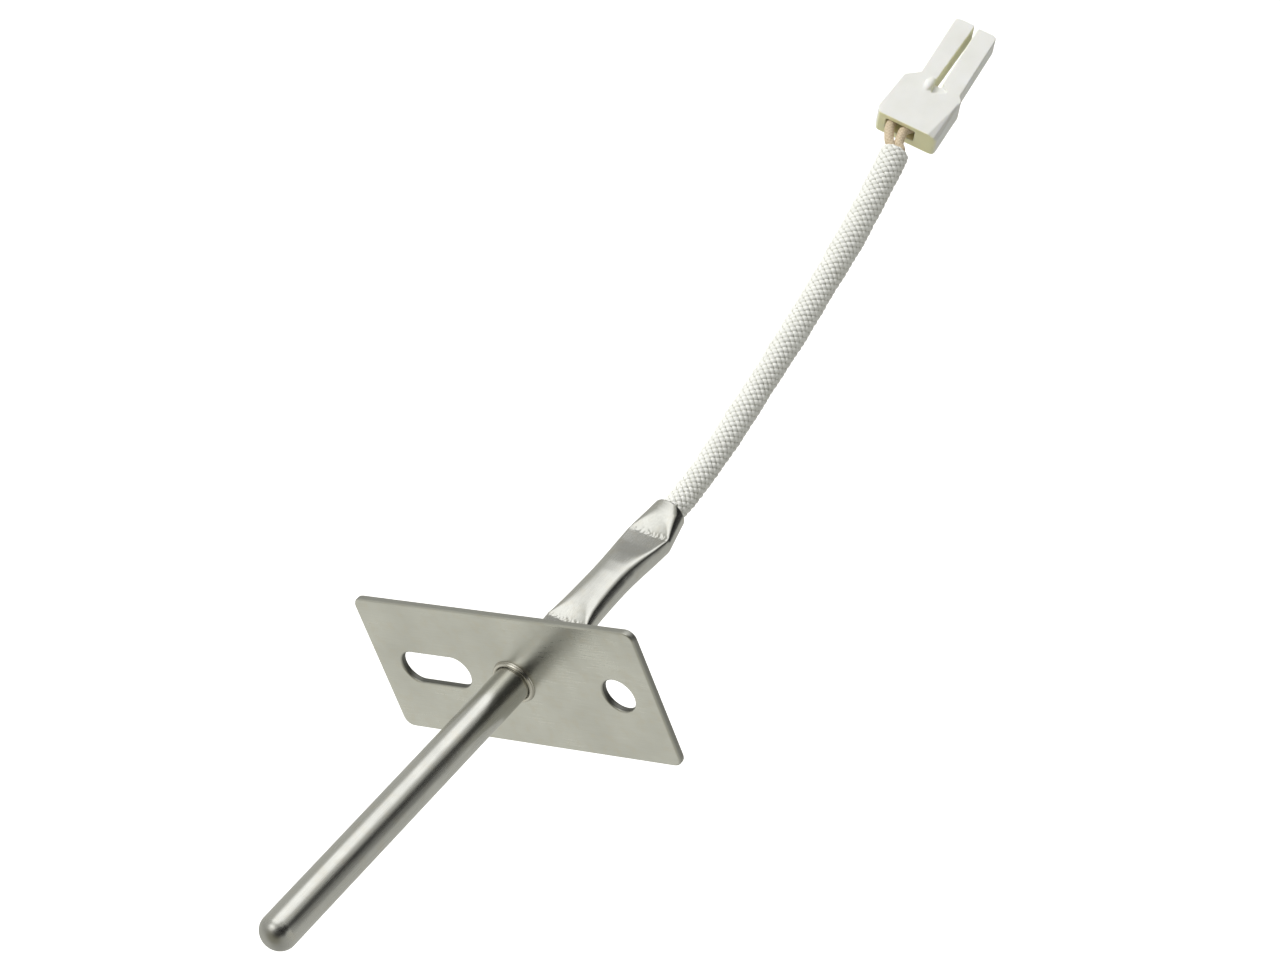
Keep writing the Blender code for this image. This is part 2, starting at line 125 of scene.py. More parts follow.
# Plug, in its own frame: x across, y through, wires in at z = 0 and prongs towards -z.
PLUG_AT = (0.0, -18.3 * MM, -126.2 * MM)
PLUG_LEAN = math.radians(-11.8)
PLUG_TURN = math.radians(-33.7)

# The two wires from the sleeve's end to the plug, as points in mm in the plug's frame.
PLUG_WIRE_ROUTE = {
    "a": (
        (1.6, -0.6, 4.4), (2.5, -0.7, 3.2), (3.3, -0.7, 1.6),
        (3.75, -0.65, 0.0), (3.4, -0.2, -2.0), (2.4, 0.0, -3.7),
    ),
    "b": (
        (-0.1, -0.6, 4.4), (0.7, -0.7, 3.2), (1.1, -0.7, 1.6),
        (1.15, -0.65, 0.0), (-0.2, -0.3, -1.8), (-2.15, 0.0, -3.7),
    ),
}

# Plug details, in mm in its frame. Outlines are x and z, with a corner radius where one is given.
PLUG_FRONT, PLUG_BACK = -2.45, 2.45
BODY_OUTLINE = (
    (-4.6, 0.0, 1.0),
    (6.2, 0.0, 0.5),
    (6.95, -1.4, 0.7),
    (6.15, -9.5, 0.6),
    (3.95, -11.3, 0.5),
    (-4.05, -11.3, 0.0),
    (-4.05, -10.1, 0.3),
    (-4.75, -9.3, 0.5),
)
PRONGS = {"a": (0.3, 3.95, -25.0), "b": (-0.35, -4.05, -24.8)}  # inner side, outer side and tip
PRONG_FRONT, PRONG_BACK, PRONG_TOP = PLUG_FRONT + 0.03, 1.45, -9.0
PRONG_OUTER_R, PRONG_INNER_R = 1.1, 0.5
GAP_OUTLINE = ((-0.35, -27.0, 0), (0.21, -27.0, 0), (0.95, -10.5, 0.3), (-0.35, -10.5, 0.3))
RECESS_OUTLINE = ((0.9, -10.9, 0), (0.6, -8.2, 0.2), (-2.1, -9.7, 0.5), (-0.35, -10.9, 0))
RECESS_DEPTH = 0.7
RIDGE_AT, RIDGE_SIZE = (1.5, PLUG_FRONT, -9.7), (0.75, 0.5, 1.5)
POCKET_OUTLINE = (
    (4.8, 1.0), (-0.6, 1.0), (-0.6, -0.4), (-3.1, -2.0), (-3.1, -3.4), (4.0, -3.4), (4.8, -2.4),
)
POCKET_CORNER_R = 0.3
POCKET_Y = (-1.5, 1.1)
CAVITIES = {"a": 2.4, "b": -2.15}
CAVITY_R, CAVITY_MOUTH_R, CAVITY_LIP, CAVITY_TOP = 1.15, 0.8, 1.2, -2.8
WINDOW_HALF, WINDOW_CORNER_R, WINDOW_FLOOR_Y = 0.8, 0.3, 0.8
WINDOW_FROM_TIP = (6.0, 9.0)
CLEAR_Y = 4.0  # well outside the plug, front or back
# The two slopes that round one front edge: where each starts and ends across and through the plug.
EDGE_SLOPES = {"front_slope": ((-2.7, -5.2), (-2.5, -1.5)), "side_slope": ((-3.7, -5.0), (-2.5, -0.3))}
# Where yellow shade is painted on the nylon: its wire end, a box round the pocket, and the gap between the
# prongs.
SHADE_TINT_END_Z = -0.6
SHADE_TINT_POCKET = ((-3.4, 5.0), (-1.7, 1.3), (-3.6, -0.1))
SHADE_TINT_GAP_X, SHADE_TINT_GAP_Z, SHADE_TINT_GAP_SHARE = (-0.6, 1.3), -8.0, 0.6

# Braids: yarns each way round, and how far one yarn crossing is from the next along the tube.
SLEEVE_YARNS = 10
SLEEVE_PITCH = 1.18 * MM
WIRE_YARNS = 6
WIRE_PITCH = 0.62 * MM

# Covered wires: their radius, and how far each is from the sheath's axis.
WIRE_R = 0.82 * MM
WIRE_X = 0.85 * MM

# Colours that more than one material uses, and how much rougher cut edges and the spun end are.
GLASS_YARN = (0.94, 0.94, 0.91)
# The hollow colours are painted shade, for the crevices between yarns and the insides of the tubes, and also
# the colour the braids' dirt takes.
GLASS_SHADE_AND_DIRT = (0.40, 0.40, 0.31)
WIRE_COVER = (0.74, 0.62, 0.46)
WIRE_SHADE_AND_DIRT = (0.42, 0.31, 0.16)
DULLED = 0.12


# ---------------------------------------------------------------- camera, studio and floor


def make_camera():
    data = bpy.data.cameras.new("camera")
    data.lens = CAMERA_LENS
    data.sensor_width = 36.0
    data.clip_start = 0.01
    data.clip_end = 10.0
    camera = bpy.data.objects.new("camera", data)
    bpy.context.scene.collection.objects.link(camera)
    back = (Vector(CAMERA_AT) - Vector(CAMERA_AIM)).normalized()
    right = Vector(CAMERA_UP).cross(back).normalized()
    up = back.cross(right)
    turned = Matrix((right, up, back)).transposed().to_4x4()
    camera.matrix_world = Matrix.Translation(CAMERA_AT) @ turned
    bpy.context.scene.camera = camera


# What surrounds the metal: soft patches over an even grey, each with its azimuth from +X, its elevation,
# the half angles inside which it is full and outside which it is gone, and its colour.
STUDIO_GREY = (0.56, 0.56, 0.52)
STUDIO_PATCHES = (
    (90.0, 90.0, 15.0, 50.0, (0.36, 0.35, 0.27)),
    (277.0, 38.0, 10.0, 22.0, (2.00, 2.00, 1.94)),
    (268.0, -6.0, 14.0, 26.0, (1.50, 1.50, 1.46)),
    (266.0, -37.0, 15.0, 30.0, (1.50, 1.50, 1.47)),
    (295.0, -60.0, 8.0, 27.0, (0.42, 0.42, 0.40)),
    (22.0, 24.0, 12.0, 42.0, (0.80, 0.80, 0.74)),
    (174.0, -58.0, 23.0, 34.0, (0.05, 0.05, 0.05)),
    (196.0, -42.0, 9.0, 23.0, (0.02, 0.02, 0.02)),
    (204.0, -8.0, 10.0, 25.0, (0.02, 0.02, 0.02)),
    (206.0, 30.0, 20.0, 36.0, (0.02, 0.02, 0.02)),
    (216.0, 60.0, 15.0, 31.0, (0.03, 0.03, 0.03)),
)
# The key and fill lights fall on the fibres and the plug; the metal sees the studio's patches in their place.
KEY_FROM = (285.0, 10.0)
KEY_STRENGTH = 1.4
KEY_SOFTNESS = math.radians(25.0)
FILL_FROM = (190.0, 15.0)
FILL_STRENGTH = 0.28
FILL_SOFTNESS = math.radians(70.0)
FLOOR_DROP = 30.0 * MM
FLOOR_SIZE = 6.0


def direction(azimuth, elevation):
    a, e = math.radians(azimuth), math.radians(elevation)
    return Vector((math.cos(a) * math.cos(e), math.sin(a) * math.cos(e), math.sin(e)))


def make_studio():
    """A studio that lights the object and shows in its metal, and that the camera sees as plain white."""
    world = bpy.data.worlds.new("studio")
    world.use_nodes = True
    bpy.context.scene.world = world
    tree = world.node_tree
    tree.nodes.clear()
    toward = add_node(tree, "ShaderNodeTexCoord").outputs["Generated"]
    colour = add_node(tree, "ShaderNodeRGB").outputs[0]
    colour.default_value = (*STUDIO_GREY, 1.0)
    for azimuth, elevation, inner, outer, patch_colour in STUDIO_PATCHES:
        facing = add_node(tree, "ShaderNodeVectorMath", {0: toward}, operation="DOT_PRODUCT")
        facing.inputs[1].default_value = direction(azimuth, elevation)
        ease = add_node(tree, "ShaderNodeMapRange", {0: facing.outputs["Value"]})
        ease.interpolation_type = "SMOOTHSTEP"
        ease.inputs["From Min"].default_value = math.cos(math.radians(outer))
        ease.inputs["From Max"].default_value = math.cos(math.radians(inner))
        colour = blend_colours(tree, ease.outputs[0], colour, patch_colour)
    seen = add_node(tree, "ShaderNodeLightPath").outputs["Is Camera Ray"]
    colour = blend_colours(tree, seen, colour, (1.0, 1.0, 1.0))
    background = add_node(tree, "ShaderNodeBackground", {"Color": colour})
    add_node(tree, "ShaderNodeOutputWorld", {"Surface": background.outputs[0]})

    make_light("key", KEY_FROM, KEY_STRENGTH, KEY_SOFTNESS)
    make_light("fill", FILL_FROM, FILL_STRENGTH, FILL_SOFTNESS)


def make_light(name, place, strength, softness):
    """A far, soft light that doesn't show in the metal."""
    sun = bpy.data.lights.new(name, "SUN")
    sun.energy = strength
    sun.angle = softness
    light = bpy.data.objects.new(name, sun)
    light.rotation_euler = direction(*place).to_track_quat("Z", "Y").to_euler()
    light.visible_glossy = False
    bpy.context.scene.collection.objects.link(light)


def make_floor():
    mesh = bpy.data.meshes.new("floor")
    bm = bmesh.new()
    bmesh.ops.create_grid(bm, x_segments=1, y_segments=1, size=FLOOR_SIZE / 2)
    bm.to_mesh(mesh)
    bm.free()
    floor = bpy.data.objects.new("floor", mesh)
    bpy.context.scene.collection.objects.link(floor)
    floor.location.z = cad_box[0].z - FLOOR_DROP
    floor.visible_glossy = False
    floor.visible_diffuse = False
    material, tree, shader = new_material("floor_paper")
    shader.inputs["Base Color"].default_value = (0.95, 0.95, 0.95, 1.0)
    shader.inputs["Roughness"].default_value = 0.9
    shader.inputs["Emission Color"].default_value = (1.0, 1.0, 1.0, 1.0)
    shader.inputs["Emission Strength"].default_value = 0.8
    mesh.materials.append(material)


# ---------------------------------------------------------------- material nodes


def add_node(tree, kind, links=None, **settings):
    """A node with its properties set, and its inputs linked to sockets or set to values."""
    node = tree.nodes.new(kind)
    for name, value in settings.items():
        setattr(node, name, value)
    for name, value in (links or {}).items():
        if isinstance(value, bpy.types.NodeSocket):
            tree.links.new(value, node.inputs[name])
        else:
            node.inputs[name].default_value = value
    return node


def new_material(name):
    material = bpy.data.materials.new(name)
    material.use_nodes = True
    tree = material.node_tree
    return material, tree, tree.nodes["Principled BSDF"]


def blend_colours(tree, factor, first, second):
    """Mixes two colours, each a socket or three numbers, by a factor that is a socket."""
    node = add_node(tree, "ShaderNodeMix", {0: factor}, data_type="RGBA")
    for place, value in ((6, first), (7, second)):
        if isinstance(value, bpy.types.NodeSocket):
            tree.links.new(value, node.inputs[place])
        else:
            node.inputs[place].default_value = (*value, 1.0)
    return node.outputs[2]


def object_mm(tree, stretch=(1.0, 1.0, 1.0), turn=(0.0, 0.0, 0.0)):
    """Object coordinates in millimetres, stretched and turned for grain that runs one way."""
    place = add_node(tree, "ShaderNodeTexCoord").outputs["Object"]
    mapping = add_node(tree, "ShaderNodeMapping", {"Vector": place, "Rotation": turn})
    mapping.inputs["Scale"].default_value = [1000.0 * s for s in stretch]
    return mapping.outputs[0]


def speckle(tree, vector, scale, detail=3.0, roughness=0.55):
    links = {"Vector": vector, "Scale": scale, "Detail": detail, "Roughness": roughness}
    return add_node(tree, "ShaderNodeTexNoise", links).outputs["Fac"]


def spread_out(tree, value, low, high, from_low=0.3, from_high=0.7):
    """Maps a noise value onto a range of its own."""
    links = {0: value, 1: from_low, 2: from_high, 3: low, 4: high}
    return add_node(tree, "ShaderNodeMapRange", links).outputs[0]


def raise_surface(tree, shader, heights):
    """Chains bumps, each a height socket with its depth in metres, into the shader's normal."""
    normal = None
    for height, depth in heights:
        links = {"Height": height, "Strength": 1.0, "Distance": depth}
        if normal is not None:
            links["Normal"] = normal
        normal = add_node(tree, "ShaderNodeBump", links).outputs[0]
    tree.links.new(normal, shader.inputs["Normal"])


def rougher(tree, place, rough):
    """Adds DULLED to the roughness where place is 1."""
    links = {0: place, 1: DULLED, 2: rough}
    return add_node(tree, "ShaderNodeMath", links, operation="MULTIPLY_ADD").outputs[0]


def steel(
    name, colour, roughness, grain, grain_depth, mottle=0.06, cut_edges=False, dull_above=None, cloud=0.16
):
    """Steel with grain along one direction, cloudy roughness and small stains.

    Cut edges are duller, and so is a closed end that was spun to shape, above the height dull_above.
    """
    material, tree, shader = new_material(name)
    shader.inputs["Metallic"].default_value = 1.0
    lines = speckle(tree, object_mm(tree, grain), 5.0, 4.0, 0.6)
    clouds = speckle(tree, object_mm(tree), cloud, 4.0, 0.6)
    stains = speckle(tree, object_mm(tree), 0.55, 5.0, 0.65)
    darker = [c * (1.0 - 1.6 * mottle) for c in colour]
    brown = (colour[0] * 0.93, colour[1] * 0.88, colour[2] * 0.80)
    tint = blend_colours(tree, spread_out(tree, clouds, 0.0, 1.0), colour, darker)
    tint = blend_colours(tree, spread_out(tree, stains, 0.0, 0.55, 0.5, 0.72), tint, brown)
    tint = blend_colours(tree, spread_out(tree, lines, 0.0, 0.22), tint, [c * 0.8 for c in colour])
    shine = add_node(tree, "ShaderNodeMath", {0: spread_out(tree, clouds, -0.05, 0.05)}, operation="ADD")
    tree.links.new(spread_out(tree, lines, roughness - 0.04, roughness + 0.05), shine.inputs[1])
    rough = shine.outputs[0]
    heights = [(lines, grain_depth)]
    if cut_edges:
        normal = add_node(tree, "ShaderNodeTexCoord").outputs["Normal"]
        upright = add_node(tree, "ShaderNodeSeparateXYZ", {0: normal}).outputs["Z"]
        flatness = add_node(tree, "ShaderNodeMath", {0: upright}, operation="ABSOLUTE").outputs[0]
        side = spread_out(tree, flatness, 1.0, 0.0, 0.25, 0.9)
        punched = add_node(tree, "ShaderNodeAttribute", attribute_name="punched").outputs["Fac"]
        hole_wall = add_node(tree, "ShaderNodeMath", {0: side, 1: punched}, operation="MULTIPLY").outputs[0]
        tears = speckle(tree, object_mm(tree, (6.0, 6.0, 1.2)), 1.1, 4.0, 0.7)
        torn = add_node(tree, "ShaderNodeMath", {0: tears, 1: side}, operation="MULTIPLY").outputs[0]
        tint = blend_colours(tree, side, tint, [c * 0.62 for c in colour])
        tint = blend_colours(tree, hole_wall, tint, [c * 0.26 for c in colour])
        rough = rougher(tree, side, rough)
        heights.append((torn, 0.03 * MM))
    if dull_above is not None:
        place = add_node(tree, "ShaderNodeTexCoord").outputs["Object"]
        height = add_node(tree, "ShaderNodeSeparateXYZ", {0: place}).outputs["Z"]
        spun = spread_out(tree, height, 0.0, 1.0, dull_above + 0.5 * MM, dull_above + 2.2 * MM)
        tint = blend_colours(tree, spun, tint, [c * 0.66 for c in colour])
        rough = rougher(tree, spun, rough)
    tree.links.new(tint, shader.inputs["Base Color"])
    tree.links.new(rough, shader.inputs["Roughness"])
    raise_surface(tree, shader, heights)
    return material


def braided_fibre(name, top, hollow, sheen):
    """Braided yarn. The mesh's UVs run across and along the yarn on top, and "height" is its relief, made
    lower where yarns meet and inside the tube; where it is low, shade is painted in.
    """
    material, tree, shader = new_material(name)
    along = add_node(tree, "ShaderNodeUVMap", uv_map="yarn").outputs[0]
    hair_map = add_node(tree, "ShaderNodeMapping", {"Vector": along, "Scale": (14.0, 1.1, 1.0)})
    hairs = speckle(tree, hair_map.outputs[0], 1.0, 3.0, 0.6)
    height = add_node(tree, "ShaderNodeAttribute", attribute_name="height").outputs["Fac"]
    dirt = speckle(tree, object_mm(tree), 0.35, 3.0, 0.6)
    # Painted shade: the low places between the yarns and the inside of the tube take the darker hollow
    # colour.
    tint = blend_colours(tree, spread_out(tree, height, 0.0, 1.0, 0.22, 0.62), hollow, top)
    tint = blend_colours(tree, spread_out(tree, hairs, 0.0, 0.3), tint, [c * 0.86 for c in top])
    tint = blend_colours(tree, spread_out(tree, dirt, 0.0, 0.16, 0.45, 0.75), tint, hollow)
    tree.links.new(tint, shader.inputs["Base Color"])
    tree.links.new(spread_out(tree, hairs, 0.7, 0.92), shader.inputs["Roughness"])
    shader.inputs["Sheen Weight"].default_value = sheen
    shader.inputs["Sheen Roughness"].default_value = 0.4
    raise_surface(tree, shader, [(hairs, 0.035 * MM)])
    return material


def woven_tube(name, top, hollow, middle_x, yarns, pitch):
    """A braid for a CAD node that runs up z: two families of yarns round the tube, one over and one under."""
    material, tree, shader = new_material(name)

    def math_node(operation, first, second=0.0):
        return add_node(tree, "ShaderNodeMath", {0: first, 1: second}, operation=operation).outputs[0]

    place = add_node(tree, "ShaderNodeTexCoord").outputs["Object"]
    axes = add_node(tree, "ShaderNodeSeparateXYZ", {0: place}).outputs
    turn = math_node("ARCTAN2", axes["Y"], math_node("SUBTRACT", axes["X"], middle_x))
    across = math_node("MULTIPLY", turn, yarns / 2.0)
    along = math_node("MULTIPLY", axes["Z"], math.pi / pitch)
    first = math_node("SINE", math_node("ADD", across, along))
    second = math_node("SINE", math_node("SUBTRACT", across, along))
    relief = math_node("MULTIPLY", math_node("ABSOLUTE", first), math_node("ABSOLUTE", second))
    hairs = speckle(tree, object_mm(tree), 6.0, 4.0, 0.7)
    # Painted shade: the crevices between the yarns take the darker hollow colour.
    tint = blend_colours(tree, spread_out(tree, relief, 0.0, 1.0, 0.0, 0.5), hollow, top)
    tint = blend_colours(tree, spread_out(tree, hairs, 0.0, 0.4), tint, [c * 0.8 for c in top])
    tree.links.new(tint, shader.inputs["Base Color"])
    tree.links.new(spread_out(tree, hairs, 0.7, 0.95), shader.inputs["Roughness"])
    raise_surface(tree, shader, [(relief, 0.12 * MM), (hairs, 0.02 * MM)])
    return material


def moulded_nylon():
    material, tree, shader = new_material("moulded_nylon")
    grain = speckle(tree, object_mm(tree), 7.0, 2.0, 0.5)
    clouds = speckle(tree, object_mm(tree), 0.22, 2.0, 0.5)
    tint = blend_colours(tree, spread_out(tree, clouds, 0.0, 1.0), (0.88, 0.88, 0.865), (0.84, 0.84, 0.81))
    # Painted shade: a yellow shade colour on the plug's wire end, inside its pocket and on the walls of the
    # gap between its prongs.
    painted_yellow_shade = add_node(tree, "ShaderNodeAttribute", attribute_name="painted_yellow_shade").outputs["Fac"]
    tint = blend_colours(tree, painted_yellow_shade, tint, (0.91, 0.89, 0.58))
    tree.links.new(tint, shader.inputs["Base Color"])
    tree.links.new(spread_out(tree, clouds, 0.34, 0.46), shader.inputs["Roughness"])
    shader.inputs["Subsurface Weight"].default_value = 0.25
    shader.inputs["Subsurface Radius"].default_value = (1.0, 0.9, 0.7)
    shader.inputs["Subsurface Scale"].default_value = 0.6 * MM
    shader.inputs["Specular IOR Level"].default_value = 0.45
    raise_surface(tree, shader, [(clouds, 0.05 * MM), (grain, 0.004 * MM)])
    return material


def fired(name, light, dark, scale, depth, roughness):
    """A fired or dried mineral surface: speckled, with small pores."""
    material, tree, shader = new_material(name)
    grains = speckle(tree, object_mm(tree), scale, 5.0, 0.65)
    pores = speckle(tree, object_mm(tree), scale * 3.0, 2.0, 0.5)
    tint = blend_colours(tree, spread_out(tree, grains, 0.0, 1.0), light, dark)
    tree.links.new(tint, shader.inputs["Base Color"])
    tree.links.new(spread_out(tree, pores, roughness - 0.08, roughness + 0.08), shader.inputs["Roughness"])
    raise_surface(tree, shader, [(grains, depth), (pores, depth / 3.0)])
    return material


# ---------------------------------------------------------------- mesh tools


def skin(name, rings, closed=False):
    """A mesh through rings of points, shape (rings, around, 3), capped at its ends or joined end to end."""
    count, around = rings.shape[:2]
    here = np.arange(around)
    step = np.roll(here, -1)
    faces = []
    for i in range(count if closed else count - 1):
        low, high = i * around, ((i + 1) % count) * around
        faces.append(np.stack([low + here, low + step, high + step, high + here], axis=1))
    polygons = np.concatenate(faces).tolist()
    if not closed:
        polygons.append(list(range(around - 1, -1, -1)))
        polygons.append([(count - 1) * around + i for i in range(around)])
    mesh = bpy.data.meshes.new(name)
    mesh.from_pydata(rings.reshape(-1, 3).tolist(), [], polygons)
    mesh.shade_smooth()
    return mesh


def face_outwards(mesh):
    bm = bmesh.new()
    bm.from_mesh(mesh)
    bmesh.ops.recalc_face_normals(bm, faces=bm.faces)
    bm.to_mesh(mesh)
    bm.free()


def add_piece(name, mesh, material, slot, *stands_for):
    """A piece of the object: it rides on the one body and takes the place of the CAD nodes named."""
    obj = bpy.data.objects.new(name, mesh)
    bpy.context.scene.collection.objects.link(obj)
    if not mesh.materials:
        mesh.materials.append(material)
    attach(obj, "root")
    if stands_for:
        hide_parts(*stands_for)
    return obj


def smooth_curve(points, per_span):
    """Points on a smooth curve through the given ones, with the same number in each span."""
    points = [Vector(p) for p in points]
    last = len(points) - 1
    path = [points[0]]
    for i in range(last):
        before, after = points[max(i - 1, 0)], points[min(i + 2, last)]
        start, end = points[i], points[i + 1]
        handle_a, handle_b = start + (end - before) / 6, end - (after - start) / 6
        path += interpolate_bezier(start, handle_a, handle_b, end, per_span + 1)[1:]
    return path


def respaced(path, step):
    """The path as an array of points about one step apart, and how far along it each one is."""
    line = np.array([tuple(p) for p in path])
    along = np.concatenate([[0.0], np.cumsum(np.linalg.norm(np.diff(line, axis=0), axis=1))])
    count = int(round(along[-1] / step)) + 1
    at = np.linspace(0.0, along[-1], count)
    return np.stack([np.interp(at, along, line[:, k]) for k in range(3)], axis=1), at


def frames_along(line, first_side):
    """Two directions across the path at each point, without twist."""
    tangent = np.gradient(line, axis=0)
    tangent /= np.linalg.norm(tangent, axis=1, keepdims=True)
    side = np.array(first_side, float)
    sides = []
    for t in tangent:
        side = side - (side @ t) * t
        side /= np.linalg.norm(side)
        sides.append(side)
    sides = np.array(sides)
    return sides, np.cross(tangent, sides)


# ---------------------------------------------------------------- braided tubes


def yarn_height(u, v, rise, thickness):
    """Height of a one-over, one-under braid, and where the first family of yarns is on top.

    u counts the yarns of the first family and v those of the second.
    """
    i, j = np.round(u), np.round(v)

    def crown(across):
        return thickness * np.sqrt(np.clip(1.0 - (across / 0.505) ** 2, 0.0, None))

    first = rise * np.cos(math.pi * (v - i)) + crown(u - i)
    second = -rise * np.cos(math.pi * (u - j)) + crown(v - j)
    seam = np.exp(-((first - second) / (0.45 * thickness)) ** 2)
    on_top = first >= second
    uneven = np.sin(12.9898 * i + 78.233 * j + 3.0 * on_top) * 43758.5453
    uneven = 2.0 * (uneven - np.floor(uneven)) - 1.0
    return np.maximum(first, second) + 0.22 * thickness * uneven * (1.0 - seam), on_top, seam


def braid_tube(name, path, side, section, yarns, pitch, rise, thickness, bore, cols=16, rows=12, lip=None):
    """A hollow braided tube along a path.

    section(distance, angle) gives the outer radius before the relief. The end of the tube turns in over lip,
    and the inside, at bore times the outer radius, runs back to the start.
    """
    line, at = respaced(path, pitch / rows)
    length = at[-1]
    across, upward = frames_along(line, side)
    around = yarns * cols
    angle = 2.0 * math.pi * np.arange(around) / around
    distance, theta = np.meshgrid(at, angle, indexing="ij")
    u = yarns * theta / (2.0 * math.pi) + distance / pitch
    v = yarns * theta / (2.0 * math.pi) - distance / pitch
    relief, first, seam = yarn_height(u, v, rise, thickness)
    low, high = -rise, rise + thickness
    # Painted crevice shade for the material: where this is low the yarn is coloured darker, and the seams
    # where yarns meet are pushed lower still.
    shade = (relief - low) / (high - low) * (1.0 - 0.7 * seam)
    relief = relief - 0.5 * thickness * seam
    lip = lip or 2.0 * thickness
    turn_in = np.clip((distance - (length - lip)) / lip, 0.0, 1.0)
    fall = 1.0 - np.sqrt(np.clip(1.0 - turn_in**2, 0.0, 1.0))
    outer = section(distance, theta)
    radius = (outer + relief - high) * (1.0 - (1.0 - bore) * 0.9 * fall)
    inner_rows = np.arange(len(at) - 1, -1, -rows)
    inner = (outer * bore - 0.5 * thickness)[inner_rows]
    rings = np.concatenate([radius, inner])
    places = np.concatenate([np.arange(len(at)), inner_rows])
    out = np.cos(angle)[None, :, None] * across[places][:, None, :]
    out = out + np.sin(angle)[None, :, None] * upward[places][:, None, :]
    points = line[places][:, None, :] + rings[:, :, None] * out
    mesh = skin(name, points, closed=True)
    face_outwards(mesh)

    # The inside of the tube gets a low value, so it takes the painted shade.
    heights = np.concatenate([shade, np.full(inner.shape, 0.2)])
    attribute = mesh.attributes.new("height", "FLOAT", "POINT")
    attribute.data.foreach_set("value", heights.astype(np.float32).ravel())
    set_yarn_uvs(mesh, around, yarns, np.concatenate([at, at[inner_rows]]) / pitch, first)
    return mesh, line


def set_yarn_uvs(mesh, around, yarns, steps, first):
    """UVs across and along the yarn that is on top, so that its hairs run the way it does."""
    corners = np.empty(len(mesh.loops), np.int32)
    mesh.loops.foreach_get("vertex_index", corners)
    corners = corners.reshape(-1, 4)
    ring, column = corners // around, corners % around
    wraps = column.max(axis=1) - column.min(axis=1) > 1
    column = np.where(wraps[:, None] & (column == 0), around, column)
    turn = yarns * column / around
    along = steps[ring]
    u, v = turn + along, turn - along
    row = np.minimum(ring.min(axis=1), len(first) - 1)
    on_top = first[row, corners.min(axis=1) % around][:, None]
    uv = np.stack([np.where(on_top, u, v + 37.0), np.where(on_top, v, u + 53.0)], axis=-1)
    layer = mesh.uv_layers.new(name="yarn")
    layer.data.foreach_set("uv", uv.astype(np.float32).ravel())


# ---------------------------------------------------------------- sheath


def straight_press(z):
    heights, depths = zip(*reversed(PRESS_MARKS))
    return np.interp(z / MM, heights, depths)


def press_depth(z, soften=0.35 * MM):
    """How deep the press tool has gone at this height, from 0 to 1, with its creases rounded."""
    return sum(straight_press(z + soften * k / 3.0) for k in range(-3, 4)) / 7.0


def tail_ring(z, inset, around):
    """One ring of the tail: an ellipse whose pressed side is dished flat, with its folds rounded."""
    pressed = press_depth(z)
    necking = min(max((NECK_Z - z) / (NECK_Z - MOUTH_Z), 0.0), 1.0)
    shrink = 1.0 - (1.0 - MOUTH_R / TUBE_R) * necking
    half_width = (TUBE_R + PRESS_SPREAD * pressed) * shrink - inset
    round_side = (TUBE_R - PRESS_SAG * pressed) * shrink - inset
    angle = 2.0 * math.pi * np.arange(around) / around
    x = half_width * np.cos(angle)
    y = round_side * np.sin(angle)
    dish = PRESS_DISH * pressed * ((x / half_width) ** 2 - 0.4)
    flat = (TUBE_R - PRESS_DROP * pressed) * shrink - inset + dish
    fold = max((0.45 + 1.3 * (1.0 - pressed)) * min(4.0 * pressed, 1.0), 0.001) * MM
    share = np.clip(0.5 + 0.5 * (flat - y) / fold, 0.0, 1.0)
    y = flat * (1.0 - share) + y * share - fold * share * (1.0 - share)
    ring = np.stack([x, y, np.full(around, z)], axis=1)
    turn = np.array(Matrix.Rotation(PRESS_TURN, 3, "Z"))
    aside = pressed * np.array([*PRESS_SHIFT, 0.0])
    return ring @ turn.T + aside + np.array([0.0, MOUTH_SHIFT_Y * necking, 0.0])


def dome_profile(radius, height, steps):
    """(radius, height) pairs up a flattened dome, to just short of its pole."""
    for i in range(1, steps):
        lift = 0.5 * math.pi * i / steps
        yield radius * math.cos(lift), height * math.sin(lift)


def crease_marks(rings):
    """Small tool marks where the press has bitten across the flat."""
    inward = -Vector((-math.sin(PRESS_TURN), math.cos(PRESS_TURN), 0.0))
    for ring in rings:
        near = max(1.0 - abs(ring[0][2] - crease) / BITE_REACH for crease in CREASES_Z)
        if near <= 0.0:
            continue
        for i, point in enumerate(ring):
            place = Vector(point)
            if place.dot(inward) < 0.0:
                bite = noise.noise(place * 2400.0) + 0.7 * noise.noise(place * 5200.0)
                ring[i] = place + inward * (BITE_DEPTH * near * max(bite, -0.3))
    return rings


